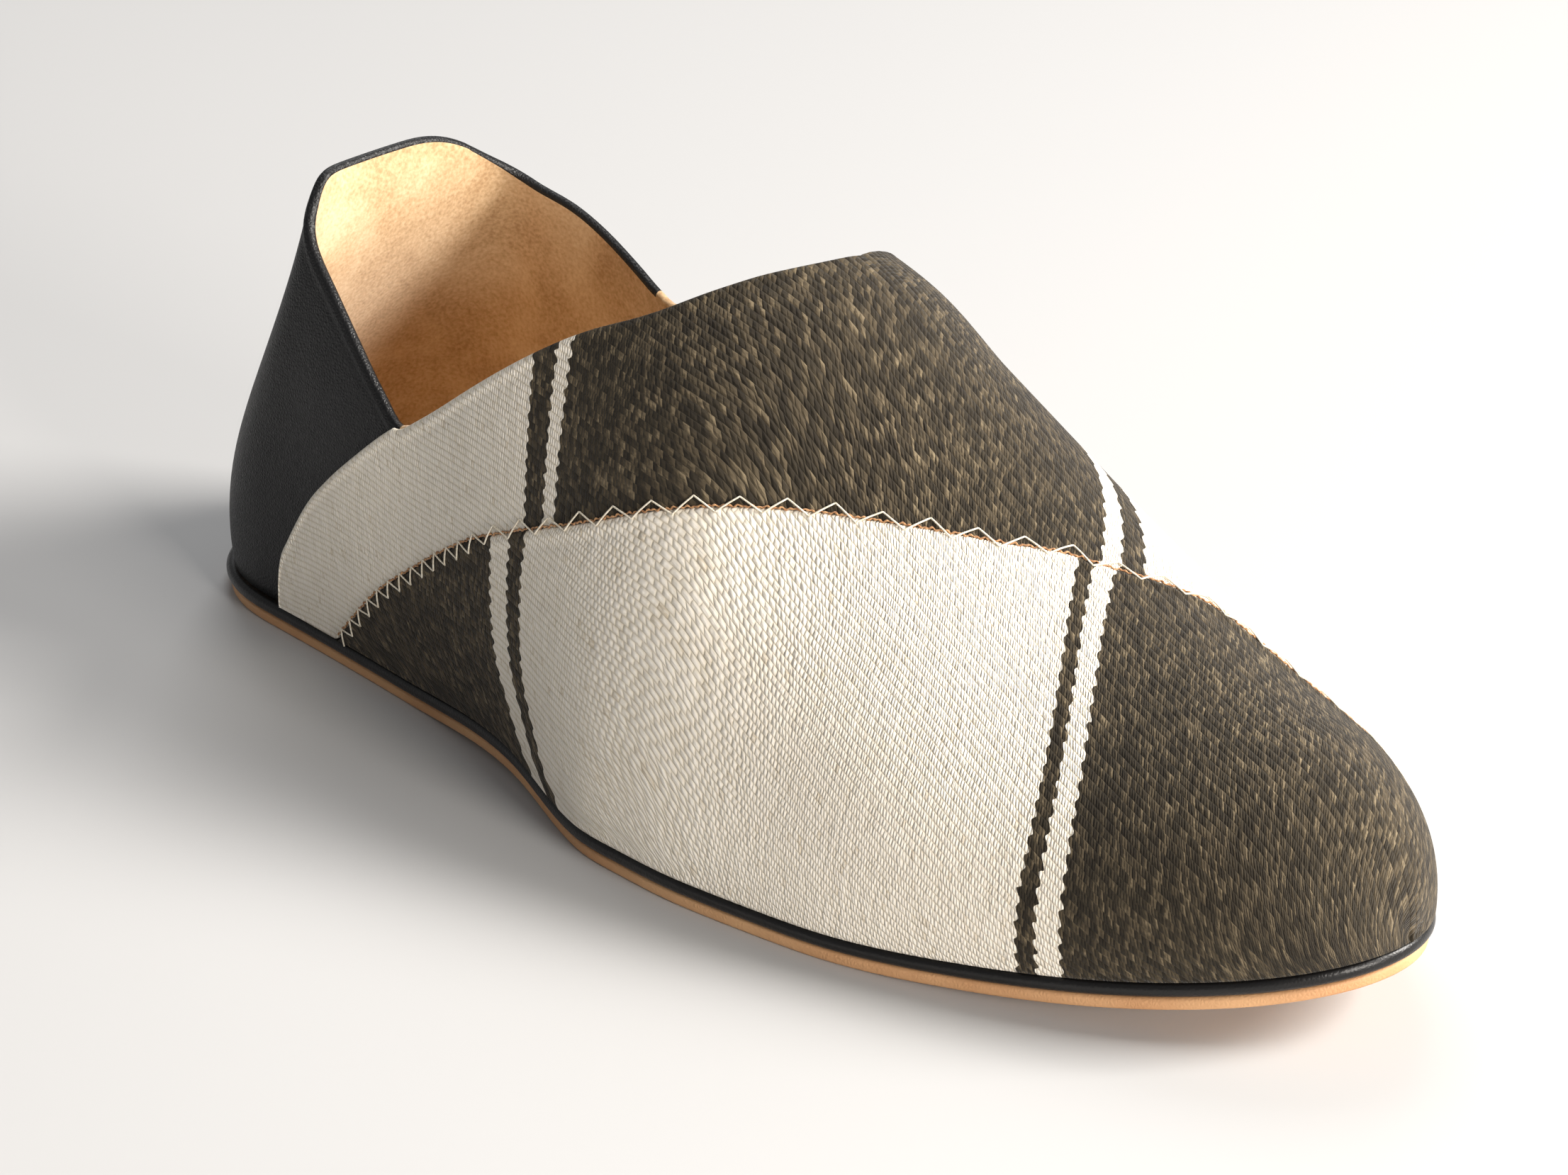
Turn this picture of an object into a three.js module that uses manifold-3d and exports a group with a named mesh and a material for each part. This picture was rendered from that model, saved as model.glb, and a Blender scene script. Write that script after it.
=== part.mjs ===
// A flat slip-on slipper for the right foot: a soft upper with an open collar on a thin leather sole.
// The upper is one hollow shell over the last, black leather at the heel and the backing of the cloth
// in front. Two panels of striped cloth lie on it, the vamp below and the band along the throat.
// +X points to the toe, +Y to the inner side of the foot, +Z up. Lengths are in millimetres.
import * as THREE from "three";
import { mergeVertices } from "three/addons/utils/BufferGeometryUtils.js";
import Module from "manifold-3d";

// Driving dimensions of the last
const LAST_LENGTH = 254; // heel to toe along the line where the upper meets the sole
const BALL_WIDTH = 84; // the same line's full width across the ball
const INSTEP_HEIGHT = 90; // the last's ridge above the sole at the throat
const HEEL_LENGTH = 28; // the round end of the heel, along the foot
const HEEL_SQUARENESS = 2.5; // 2 is a half ellipse, more is squarer
const TOE_LENGTH = 84; // the round end of the toe, along the foot
const NOSE_LENGTH = 24; // the stretch where the ridge comes down to the toe
const HEEL_REACH = 76; // how far forward the lean of the heel's back is felt
const HEEL_LEAN = 32; // forward lean of the heel's back at the rim
const HEEL_SWELL = 2.5; // backward swell of the heel below the rim
const RIM_HEIGHT = 76; // height above the sole where the heel's back has its full lean

// Driving dimensions of the layers
const QUARTER_WALL = 1.8; // leather and lining of the upper
const CLOTH_WALL = 1.1; // cloth and its turned edge
const FIT_GAP = 0.3; // between pieces that meet
const OUTSOLE_THICKNESS = 2.2;
const RAND_THICKNESS = 2.6;
const INSOLE_THICKNESS = 1.6;
const RAND_PROUD = 1.5; // the rand outside the upper's line
const OUTSOLE_PROUD = 0.7; // the outsole outside the upper's line
const TOE_SPRING = 11; // the sole's rise at the toe
const SPRING_START = 174; // where the toe spring starts
const WAIST_RISE = 1.6; // the sole's rise under the arch
const WAIST_START = 66;
const WAIST_END = 128;

// Fineness of the surfaces
const STATIONS = 40; // steps along the foot
const ARCH_STEPS = 26; // steps across, from the outer edge over the ridge to the inner edge
const SKIRT_DROP = 6; // how far a cutting form reaches below the sole line
const SHEET_STATIONS = 60; // steps along a sheet that cuts the layers
const SHEET_ROOM = 4; // half the thickness of such a sheet
const LINE_DROP = 300; // how fast a line over the last falls below the sole line, for each half turn

// Sections of the last from heel to toe. along is a share of the last's length. half and centre are
// shares of the ball width: the half width at the sole line and its middle, inner side positive.
// ridge is the height as a share of the instep height, lean its offset towards the inner side as a
// share of the ball width. swell is the side's bulge and full the roundness of the arch.
const SECTIONS = [
  { along: 0.0, half: 0.35, centre: -0.01, ridge: 1.18, lean: -0.03, swell: 0.07, full: 2.5 },
  { along: 0.1, half: 0.355, centre: -0.015, ridge: 1.18, lean: -0.01, swell: 0.07, full: 2.6 },
  { along: 0.2, half: 0.365, centre: -0.02, ridge: 1.17, lean: 0.03, swell: 0.06, full: 3.2 },
  { along: 0.3, half: 0.37, centre: -0.04, ridge: 1.12, lean: 0.06, swell: 0.04, full: 3.1 },
  { along: 0.4, half: 0.39, centre: -0.075, ridge: 1.07, lean: 0.1, swell: 0.03, full: 2.4 },
  { along: 0.5, half: 0.46, centre: -0.1, ridge: 0.97, lean: 0.17, swell: 0.02, full: 2.0 },
  { along: 0.55, half: 0.482, centre: -0.088, ridge: 0.898, lean: 0.19, swell: 0.025, full: 2.0 },
  { along: 0.6, half: 0.495, centre: -0.07, ridge: 0.795, lean: 0.18, swell: 0.03, full: 1.8 },
  { along: 0.7, half: 0.49, centre: -0.03, ridge: 0.61, lean: 0.15, swell: 0.04, full: 1.85 },
  { along: 0.8, half: 0.46, centre: 0.0, ridge: 0.46, lean: 0.1, swell: 0.05, full: 2.0 },
  { along: 0.9, half: 0.445, centre: 0.02, ridge: 0.34, lean: 0.04, swell: 0.05, full: 2.1 },
  { along: 1.0, half: 0.44, centre: 0.03, ridge: 0.26, lean: 0.0, swell: 0.05, full: 2.1 },
];

// The next tables draw lines over the last. along is a share of the last's length. outer and inner
// are shares of the half turn over the last, each counted from its own sole line, less than 0 below
// it, and a half at the ridge.

// The collar's edge: it falls from the heel to the dip and rises along the throat to the ridge.
const COLLAR = [
  { along: 0, outer: 0.27, inner: 0.27 },
  { along: 0.03, outer: 0.268, inner: 0.245 },
  { along: 0.06, outer: 0.25, inner: 0.232 },
  { along: 0.11, outer: 0.226, inner: 0.22 },
  { along: 0.16, outer: 0.205, inner: 0.209 },
  { along: 0.2, outer: 0.184, inner: 0.196 },
  { along: 0.24, outer: 0.159, inner: 0.182 },
  { along: 0.262, outer: 0.147, inner: 0.174 },
  { along: 0.285, outer: 0.158, inner: 0.17 },
  { along: 0.34, outer: 0.197, inner: 0.195 },
  { along: 0.38, outer: 0.23, inner: 0.221 },
  { along: 0.42, outer: 0.27, inner: 0.252 },
  { along: 0.46, outer: 0.316, inner: 0.293 },
  { along: 0.49, outer: 0.369, inner: 0.335 },
  { along: 0.51, outer: 0.415, inner: 0.369 },
  { along: 0.52, outer: 0.446, inner: 0.396 },
  { along: 0.526, outer: 0.475, inner: 0.425 },
  { along: 0.53, outer: 0.51, inner: 0.49 },
];

// The cloth's rear edge: it rises from the sole to the collar's dip.
const CLOTH_REAR = [
  { along: 0, outer: -0.1, inner: -0.1 },
  { along: 0.115, outer: -0.06, inner: -0.06 },
  { along: 0.124, outer: 0, inner: 0 },
  { along: 0.13, outer: 0.028, inner: 0.028 },
  { along: 0.14, outer: 0.044, inner: 0.044 },
  { along: 0.165, outer: 0.074, inner: 0.074 },
  { along: 0.19, outer: 0.095, inner: 0.095 },
  { along: 0.22, outer: 0.117, inner: 0.117 },
  { along: 0.262, outer: 0.147, inner: 0.147 },
  { along: 0.285, outer: 0.158, inner: 0.17 },
];

// The seam between vamp and band, as a share from the outer sole line: it rises over the outer side,
// crosses the ridge and comes down over the inner side at the toe. The band lies on the inner side
// of it, down to the sole line and beyond, so that nothing of the vamp is left there.
const SEAM = [
  { along: 0.1, outer: -0.08 },
  { along: 0.2, outer: 0.007 },
  { along: 0.25, outer: 0.048 },
  { along: 0.3, outer: 0.079 },
  { along: 0.35, outer: 0.106 },
  { along: 0.4, outer: 0.13 },
  { along: 0.45, outer: 0.16 },
  { along: 0.5, outer: 0.196 },
  { along: 0.55, outer: 0.234 },
  { along: 0.6, outer: 0.28 },
  { along: 0.65, outer: 0.33 },
  { along: 0.7, outer: 0.393 },
  { along: 0.73, outer: 0.446 },
  { along: 0.753, outer: 0.484 },
  { along: 0.774, outer: 0.533 },
  { along: 0.8, outer: 0.59 },
  { along: 0.83, outer: 0.62 },
  { along: 0.86, outer: 0.655 },
  { along: 0.89, outer: 0.71 },
  { along: 0.92, outer: 0.79 },
  { along: 0.945, outer: 0.905 },
  { along: 0.965, outer: 1.1 },
].map((row) => ({ ...row, inner: -0.1 }));

const wasm = await Module();
wasm.setup();

// A smooth curve through a table's rows, read at a place along it: cubic pieces with matched slopes.
function read(rows, column, along) {
  const last = rows.length - 1;
  let i = 0;
  while (i < last - 1 && along > rows[i + 1].along) i += 1;
  const slopeAt = (k) => {
    const a = rows[Math.max(k - 1, 0)];
    const b = rows[Math.min(k + 1, last)];
    return (b[column] - a[column]) / (b.along - a.along);
  };
  const from = rows[i];
  const to = rows[i + 1];
  const step = to.along - from.along;
  const t = (along - from.along) / step;
  const t2 = t * t;
  const t3 = t2 * t;
  const start = from[column] * (2 * t3 - 3 * t2 + 1) + to[column] * (3 * t2 - 2 * t3);
  return start + step * (slopeAt(i) * (t3 - 2 * t2 + t) + slopeAt(i + 1) * (t3 - t2));
}

// Height of the sole line above the plane that the shoe stands on, less the sole's own thickness:
// a toe spring, and a low rise under the arch.
function soleRise(x) {
  const spring = Math.max(0, x - SPRING_START) / (LAST_LENGTH - SPRING_START);
  const waist = (x - WAIST_START) / (WAIST_END - WAIST_START);
  const arch = waist > 0 && waist < 1 ? Math.sin(Math.PI * waist) ** 2 : 0;
  return TOE_SPRING * spring * spring + WAIST_RISE * arch;
}

// Share of the full half width that the round ends of heel and toe leave.
function endCap(x) {
  const heel = Math.max(0, (HEEL_LENGTH - x) / HEEL_LENGTH);
  const toe = Math.max(0, (x - (LAST_LENGTH - TOE_LENGTH)) / TOE_LENGTH);
  const heelShare = (1 - heel ** HEEL_SQUARENESS) ** (1 / HEEL_SQUARENESS);
  return heelShare * Math.sqrt(Math.max(0, 1 - toe * toe));
}

// The place along the foot for a turn from 0 at the heel to pi at the toe, closer at both ends.
function placeAt(turn) {
  return (LAST_LENGTH * (1 - Math.cos(turn))) / 2;
}

const SOLE_TOP = OUTSOLE_THICKNESS + FIT_GAP + RAND_THICKNESS + FIT_GAP;

// A point of the last. angle runs from 0 at the outer sole line over the ridge to pi at the inner.
function lastPoint(turn, angle) {
  const x = placeAt(turn);
  const along = x / LAST_LENGTH;
  const cap = endCap(x);
  const nose = Math.max(0, (x - (LAST_LENGTH - NOSE_LENGTH)) / NOSE_LENGTH);
  const ridge = INSTEP_HEIGHT * read(SECTIONS, "ridge", along) * Math.sqrt(Math.max(0, 1 - nose * nose));
  const rise = Math.max(0, Math.sin(angle));
  const swell = 1 + 4 * read(SECTIONS, "swell", along) * rise * (1 - rise);
  const arch = Math.sqrt(Math.max(0, 1 - rise ** read(SECTIONS, "full", along)));
  const half = BALL_WIDTH * read(SECTIONS, "half", along) * cap * swell * arch;
  const lean = BALL_WIDTH * read(SECTIONS, "lean", along) * Math.sqrt(cap) * rise ** 1.5;
  const up = ridge * rise;
  const share = up / RIM_HEIGHT;
  const eased = Math.min(1, share) ** 2 * (3 - 2 * Math.min(1, share));
  const swing = HEEL_LEAN * eased - HEEL_SWELL * Math.sin(Math.PI * Math.min(1, share));
  const felt = Math.max(0, 1 - x / HEEL_REACH) ** 2;
  return new THREE.Vector3(
    x + swing * felt,
    BALL_WIDTH * read(SECTIONS, "centre", along) + lean - Math.sign(Math.cos(angle)) * half,
    SOLE_TOP + soleRise(x) + up,
  );
}

// The same point moved outwards by an offset along the last's normal, level at the sole line.
function offsetPoint(turn, angle, offset) {
  const step = 1e-3;
  const t = Math.min(Math.max(turn, 2 * step), Math.PI - 2 * step);
  const side = turn === 0 ? Math.min(angle, Math.PI - angle) : angle; // both sides meet at the heel
  const a = Math.min(Math.max(side, step), Math.PI - step);
  const alongFoot = lastPoint(t + step, a).sub(lastPoint(t - step, a));
  const across = lastPoint(t, a + step).sub(lastPoint(t, a - step));
  const normal = alongFoot.cross(across).normalize();
  const low = Math.min(1, Math.sin(angle) / 0.2);
  normal.z *= low;
  if (turn === 0) normal.y = 0;
  if (turn === Math.PI) normal.set(1, 0, 0);
  return lastPoint(turn, angle).addScaledVector(normal.normalize(), offset);
}

// A closed mesh as a solid: equal corners merged, empty triangles dropped.
function solidOf(corners, triangles) {
  const loose = new THREE.BufferGeometry();
  loose.setAttribute("position", new THREE.Float32BufferAttribute(corners, 3));
  loose.setIndex(triangles);
  const merged = mergeVertices(loose, 1e-3);
  const index = merged.index.array;
  const kept = [];
  for (let i = 0; i < index.length; i += 3) {
    const [a, b, c] = [index[i], index[i + 1], index[i + 2]];
    if (a !== b && b !== c && c !== a) kept.push(a, b, c);
  }
  return new wasm.Manifold(
    new wasm.Mesh({
      numProp: 3,
      vertProperties: merged.attributes.position.array,
      triVerts: new Uint32Array(kept),
    }),
  );
}

// A closed solid over rows of points that run from the outer edge to the inner edge, one row for
// each station from heel to toe. Each row's two ends are joined, which closes the underside.
function solidOfRows(rows) {
  const corners = rows.flat().flatMap((p) => [p.x, p.y, p.z]);
  const width = rows[0].length;
  const triangles = [];
  for (let i = 0; i < rows.length - 1; i += 1) {
    for (let j = 0; j < width; j += 1) {
      const a = i * width + j;
      const b = i * width + ((j + 1) % width);
      triangles.push(a, a + width, b, b, a + width, b + width);
    }
  }
  return solidOf(corners, triangles);
}

// The last grown by an offset, and reaching below the sole line by a drop.
function lastForm(offset, drop) {
  const rows = [];
  for (let i = 0; i <= STATIONS; i += 1) {
    const turn = (Math.PI * i) / STATIONS;
    const row = [];
    for (let j = 0; j <= ARCH_STEPS; j += 1) {
      row.push(offsetPoint(turn, (Math.PI * j) / ARCH_STEPS, offset));
    }
    if (drop > 0) {
      row.unshift(row[0].clone().setZ(row[0].z - drop));
      row.push(row[row.length - 1].clone().setZ(row[row.length - 1].z - drop));
    }
    rows.push(row);
  }
  return solidOfRows(rows);
}

// A point of the sole's outline, moved outwards by an offset. side is -1 outer, 1 inner.
function edgePoint(turn, side, offset, height) {
  const p = offsetPoint(turn, side < 0 ? 0 : Math.PI, offset);
  return p.setZ(soleRise(placeAt(turn)) + height);
}

// A layer of the sole: its side is a profile of offsets and heights that runs from bottom to top.
function soleLayer(profile) {
  const rows = [];
  for (let i = 0; i <= STATIONS; i += 1) {
    const turn = (Math.PI * i) / STATIONS;
    const outer = profile.map((p) => edgePoint(turn, -1, p.offset, p.height));
    const inner = profile.map((p) => edgePoint(turn, 1, p.offset, p.height));
    rows.push([...outer, ...inner.reverse()]);
  }
  return solidOfRows(rows);
}

// The largest body of a solid, without the slivers that a cut leaves.
function mainBody(solid) {
  return solid.decompose().sort((a, b) => b.volume() - a.volume())[0];
}

function mesh(name, solid, look) {
  const { vertProperties, triVerts, numProp } = solid.getMesh();
  const geometry = new THREE.BufferGeometry();
  const interleaved = new THREE.InterleavedBuffer(vertProperties, numProp);
  geometry.setAttribute("position", new THREE.InterleavedBufferAttribute(interleaved, 3, 0));
  geometry.setIndex([...triVerts]);
  geometry.computeVertexNormals();
  const made = new THREE.Mesh(geometry, new THREE.MeshStandardMaterial(look));
  made.name = name;
  return made;
}

// A point over the last at a share of the half turn, which goes on straight below the sole line.
function sharePoint(turn, share, offset) {
  const p = offsetPoint(turn, Math.PI * Math.min(1, Math.max(0, share)), offset);
  const below = Math.max(-share, share - 1, 0);
  return p.setZ(p.z - below * LINE_DROP);
}

// The room over the last between a table's outer and inner line, grown by a gap. It is a thick sheet
// that cuts the layers there, closed at both ends.
function sheetOver(table, gap) {
  const first = table[0].along;
  const span = table.at(-1).along - first;
  const growth = gap / (Math.PI * (BALL_WIDTH / 2));
  const rows = [];
  for (let i = 0; i <= SHEET_STATIONS; i += 1) {
    const along = first + (span * i) / SHEET_STATIONS;
    const outer = read(table, "outer", along) - growth;
    const inner = 1 - read(table, "inner", along) + growth;
    const turn = Math.acos(1 - 2 * (along + (gap / LAST_LENGTH) * (i / SHEET_STATIONS)));
    const layer = (from, to, offset) =>
      Array.from({ length: ARCH_STEPS + 1 }, (_, j) =>
        sharePoint(turn, from + ((to - from) * j) / ARCH_STEPS, offset),
      );
    const ring = (from, to) => [
      ...layer(from, to, SHEET_ROOM),
      ...layer(from, to, -SHEET_ROOM).reverse(),
    ];
    const middle = (outer + inner) / 2;
    if (i === 0 && first > 0) rows.push(ring(middle, middle));
    rows.push(ring(outer, inner));
    if (i === SHEET_STATIONS) rows.push(ring(middle, middle));
  }
  return solidOfRows(rows);
}

const LOOKS = {
  leather: { color: 0x2b2b2d, roughness: 0.45, metalness: 0 },
  cloth: { color: 0xe4d9c3, roughness: 0.9, metalness: 0 },
  darkCloth: { color: 0x3d382e, roughness: 0.9, metalness: 0 },
  rand: { color: 0x1d1c1c, roughness: 0.35, metalness: 0 },
  sole: { color: 0xdfb386, roughness: 0.6, metalness: 0 },
  sock: { color: 0xd8bd95, roughness: 0.85, metalness: 0 },
};

const collar = sheetOver(COLLAR, 0);
const upper = mainBody(
  lastForm(0, 0).subtract(lastForm(-QUARTER_WALL, SKIRT_DROP)).subtract(collar),
);
const cloth = lastForm(FIT_GAP + CLOTH_WALL, 0)
  .subtract(lastForm(FIT_GAP, SKIRT_DROP))
  .subtract(collar)
  .subtract(sheetOver(CLOTH_REAR, 0));
const instepBand = cloth.intersect(sheetOver(SEAM, 0));
const vampFront = cloth.subtract(sheetOver(SEAM, FIT_GAP));

const outsole = soleLayer([
  { offset: OUTSOLE_PROUD - 0.4, height: 0 },
  { offset: OUTSOLE_PROUD, height: 0.4 },
  { offset: OUTSOLE_PROUD, height: OUTSOLE_THICKNESS },
]);
const randBottom = OUTSOLE_THICKNESS + FIT_GAP;
const randRound = RAND_THICKNESS / 2;
const rand = soleLayer(
  [-0.5, -0.3, -0.1, 0.1, 0.3, 0.5].map((turn) => ({
    offset: RAND_PROUD - 0.5 * randRound * (1 - Math.cos(Math.PI * turn)),
    height: randBottom + randRound * (1 + Math.sin(Math.PI * turn)),
  })),
);
const insole = soleLayer([
  { offset: -QUARTER_WALL - FIT_GAP, height: SOLE_TOP },
  { offset: -QUARTER_WALL - FIT_GAP, height: SOLE_TOP + INSOLE_THICKNESS },
]);

const slipper = new THREE.Group();
slipper.add(
  mesh("outsole", outsole, LOOKS.sole),
  mesh("rand", rand, LOOKS.rand),
  mesh("insole", insole, LOOKS.sock),
  mesh("upper", upper, LOOKS.leather),
  mesh("vamp_front", vampFront, LOOKS.cloth),
  mesh("instep_band", instepBand, LOOKS.darkCloth),
);

// The origin is under the middle of the shoe's box, on the plane that it stands on.
const box = new THREE.Box3().setFromObject(slipper);
slipper.position.set(-(box.min.x + box.max.x) / 2, -(box.min.y + box.max.y) / 2, -box.min.z);

export default slipper;
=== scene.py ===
"""Looks of a right slip-on slipper: striped handwoven cloth in front, black calf at the heel.

Lengths in the shape functions are millimetres along the last, from the heel to the toe, and turn
into metres in the row's frame when a mesh is made. +X is the toe, +Y the inner side of the foot.
"""
import math

import bmesh
import bpy
import numpy as np
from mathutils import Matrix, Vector


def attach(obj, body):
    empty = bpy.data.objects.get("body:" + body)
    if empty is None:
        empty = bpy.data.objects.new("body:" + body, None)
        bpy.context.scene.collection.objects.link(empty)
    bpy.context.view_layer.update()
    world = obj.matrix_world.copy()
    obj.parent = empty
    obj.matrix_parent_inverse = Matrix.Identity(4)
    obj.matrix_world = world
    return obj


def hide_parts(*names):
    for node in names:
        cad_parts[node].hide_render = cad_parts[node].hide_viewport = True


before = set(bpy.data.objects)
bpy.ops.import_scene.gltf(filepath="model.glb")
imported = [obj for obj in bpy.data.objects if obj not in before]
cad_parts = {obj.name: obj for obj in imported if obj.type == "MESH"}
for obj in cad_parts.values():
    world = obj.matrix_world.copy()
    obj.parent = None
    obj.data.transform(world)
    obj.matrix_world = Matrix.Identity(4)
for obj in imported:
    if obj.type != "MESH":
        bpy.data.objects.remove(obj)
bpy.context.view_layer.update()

# The last
LAST_LENGTH = 254.0
BALL_WIDTH = 84.0
INSTEP_HEIGHT = 90.0
HEEL_LENGTH = 28.0
HEEL_SQUARENESS = 2.5
TOE_LENGTH = 84.0
NOSE_LENGTH = 24.0
HEEL_REACH = 76.0
HEEL_LEAN = 32.0
HEEL_SWELL = 2.5
RIM_HEIGHT = 76.0
TOE_SPRING = 11.0
SPRING_START = 174.0
WAIST_RISE = 1.6
WAIST_START = 66.0
WAIST_END = 128.0

# The layers
QUARTER_WALL = 1.8
CLOTH_LIFT = 0.3
CLOTH_WALL = 1.1
OUTSOLE_THICKNESS = 2.2
RAND_THICKNESS = 2.6
INSOLE_THICKNESS = 1.6
FIT_GAP = 0.3
SOLE_TOP = OUTSOLE_THICKNESS + RAND_THICKNESS + 2 * FIT_GAP
RAND_PROUD = 1.5
OUTSOLE_PROUD = 0.7

# Where the last's frame lies in the row's frame
LAST_START = -127.0
LAST_SIDE = 4.1975

# Sections of the last, as shares: see the function last_point.
SECTIONS = dict(
    along=(0.0, 0.1, 0.2, 0.3, 0.4, 0.5, 0.55, 0.6, 0.7, 0.8, 0.9, 1.0),
    half=(0.35, 0.355, 0.365, 0.37, 0.39, 0.46, 0.482, 0.495, 0.49, 0.46, 0.445, 0.44),
    centre=(-0.01, -0.015, -0.02, -0.04, -0.075, -0.1, -0.088, -0.07, -0.03, 0.0, 0.02, 0.03),
    ridge=(1.18, 1.18, 1.17, 1.12, 1.07, 0.97, 0.898, 0.795, 0.61, 0.46, 0.34, 0.26),
    lean=(-0.03, -0.01, 0.03, 0.06, 0.1, 0.17, 0.19, 0.18, 0.15, 0.1, 0.04, 0.0),
    swell=(0.07, 0.07, 0.06, 0.04, 0.03, 0.02, 0.025, 0.03, 0.04, 0.05, 0.05, 0.05),
    full=(2.5, 2.6, 3.2, 3.1, 2.4, 2.0, 2.0, 1.8, 1.85, 2.0, 2.1, 2.1),
)

# Lines over the last: along is a share of its length, outer and inner are shares of the half turn
# over it, each counted from its own sole line.
COLLAR = dict(
    along=(0, 0.03, 0.06, 0.11, 0.16, 0.2, 0.24, 0.262, 0.285)
    + (0.34, 0.38, 0.42, 0.46, 0.49, 0.51, 0.52, 0.526, 0.53),
    outer=(0.27, 0.268, 0.25, 0.226, 0.205, 0.184, 0.159, 0.147, 0.158)
    + (0.197, 0.23, 0.27, 0.316, 0.369, 0.415, 0.446, 0.475, 0.51),
    inner=(0.27, 0.245, 0.232, 0.22, 0.209, 0.196, 0.182, 0.174, 0.17)
    + (0.195, 0.221, 0.252, 0.293, 0.335, 0.369, 0.396, 0.425, 0.49),
)
CLOTH_REAR = dict(
    along=(0, 0.115, 0.124, 0.13, 0.14, 0.165, 0.19, 0.22, 0.262, 0.285),
    outer=(-0.1, -0.06, 0.0, 0.028, 0.044, 0.074, 0.095, 0.117, 0.147, 0.158),
    inner=(-0.1, -0.06, 0.0, 0.028, 0.044, 0.074, 0.095, 0.117, 0.147, 0.17),
)
# The seam is a share from the outer sole line: it rises over the outer side, crosses the ridge and
# comes down over the inner side at the toe.
SEAM = dict(
    along=(0.1, 0.2, 0.25, 0.3, 0.35, 0.4, 0.45, 0.5, 0.55, 0.6, 0.65, 0.7, 0.73)
    + (0.753, 0.774, 0.8, 0.83, 0.86, 0.89, 0.92, 0.945, 0.965),
    share=(-0.08, 0.007, 0.048, 0.079, 0.106, 0.13, 0.16, 0.196, 0.234, 0.28, 0.33, 0.393, 0.446)
    + (0.484, 0.533, 0.59, 0.62, 0.655, 0.71, 0.79, 0.905, 1.1),
)
# Places along the foot: the throat's point, where the seam crosses the ridge, where it leaves the
# sole line at each end, the collar's lowest place, and where the cloth's rear edge meets the collar
THROAT_END = COLLAR["along"][-1] * LAST_LENGTH
RIDGE_CROSSING = 0.7603 * LAST_LENGTH
SEAM_START = 0.1918 * LAST_LENGTH
SEAM_END = 0.9554 * LAST_LENGTH
DIP = 0.262 * LAST_LENGTH
CLOTH_JOIN = 0.285 * LAST_LENGTH
CLOTH_START = 0.124 * LAST_LENGTH
# Room between vamp and band as a share, and how far the vamp starts in front of the seam
SEAM_ROOM = 0.0023
VAMP_SETBACK = 0.6
# Where both sides meet in front of the throat: how far off the ridge, and over what length
MEETING_SHIFT = 0.01
MEETING_REACH = 8.0
# A place nearer than this to another one counts as the same
TOLERANCE = 1e-6

# Extra stations towards the throat's point and in front of the cloth's first point
THROAT_CROWD = THROAT_END - np.array([3.0, 2.4, 1.8, 1.3, 0.9, 0.6, 0.3, 0.1, 0.0])
REAR_CROWD = CLOTH_START + np.array([0.1, 0.25, 0.5, 0.8, 1.2, 1.7, 2.3, 3.0])

# Rolled edges: how far each stands proud of its face, and where it fades out along the foot
RIM_BEAD = 0.22
RIM_FADE = (DIP - 4, DIP + 6)
VAMP_BEAD = 0.2
VAMP_FADE = (SEAM_END - 6, SEAM_END)
BAND_BEAD = 0.16
BAND_FADE = (THROAT_END - 5, THROAT_END)
# and their form by the depth below the edge: a crest, and a shallow groove behind it
CREST_DEPTH = 0.9
CREST_WIDTH = 0.75
GROOVE_SHARE = 0.35
GROOVE_DEPTH = 2.6
GROOVE_WIDTH = 0.5

# Rows of a layer by their distance from its high edge, and steps over the rolled edge
EDGE_STEPS = np.array([0.0, 0.25, 0.5, 0.8, 1.1, 1.5, 1.9, 2.4, 3.0, 3.8, 5.0, 6.5, 8.0])
ROLL_STEPS = 7
# The share of a side that those rows may take up where it is low
EDGE_SHARE = 0.6

# Soft forms on each side of the heel: height, place and length along the foot, then the share up
# from the sole line and its width
QUARTER_FORMS = (
    (-0.5, 26.0, 12.0, 0.11, 0.045),
    (0.25, 44.0, 10.0, 0.15, 0.03),
)
# Slack waves of the cloth: height, length over two pi, turn over the half turn, and start
CLOTH_WAVES = (
    (0.16, 7.5, 9.0, 0.0),
    (0.12, 12.0, -14.0, 1.3),
)
# and the share over which they fade in from each sole line
SLACK_FADE = 0.06

# How far the cloth's stripes run forward of their place at the ridge, in front, by the distance
# from the ridge towards the outer side
FRONT_DRIFT = dict(
    along=(-60, -30, -20, -10, 0, 10, 20, 30, 40, 50, 60, 90),
    drift=(-70, -38, -23, -10, 0, 7, 14, 20, 24, 26, 27.2, 29),
)
# and behind, on the vamp, by the height above the ground
REAR_DRIFT = dict(
    along=(0, 7, 9, 12.6, 17, 21, 26, 33, 42, 60, 100),
    drift=(19, 15, 12, 9, 6, 3.6, 2, 0.8, 0, 0, 0),
)
# and on the band, by each millimetre beyond this distance from the ridge
BAND_DRIFT = 0.25
BAND_DISTANCE = 45.0
# Where the drift behind gives way to the one in front, and where the toe's cloth starts
DRIFT_CHANGE = (115.0, 170.0)
TOE_CLOTH = 222.0
# Added to the distance from the ridge, so that every row of the weave has a number above zero
ROW_START = 100.0


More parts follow.
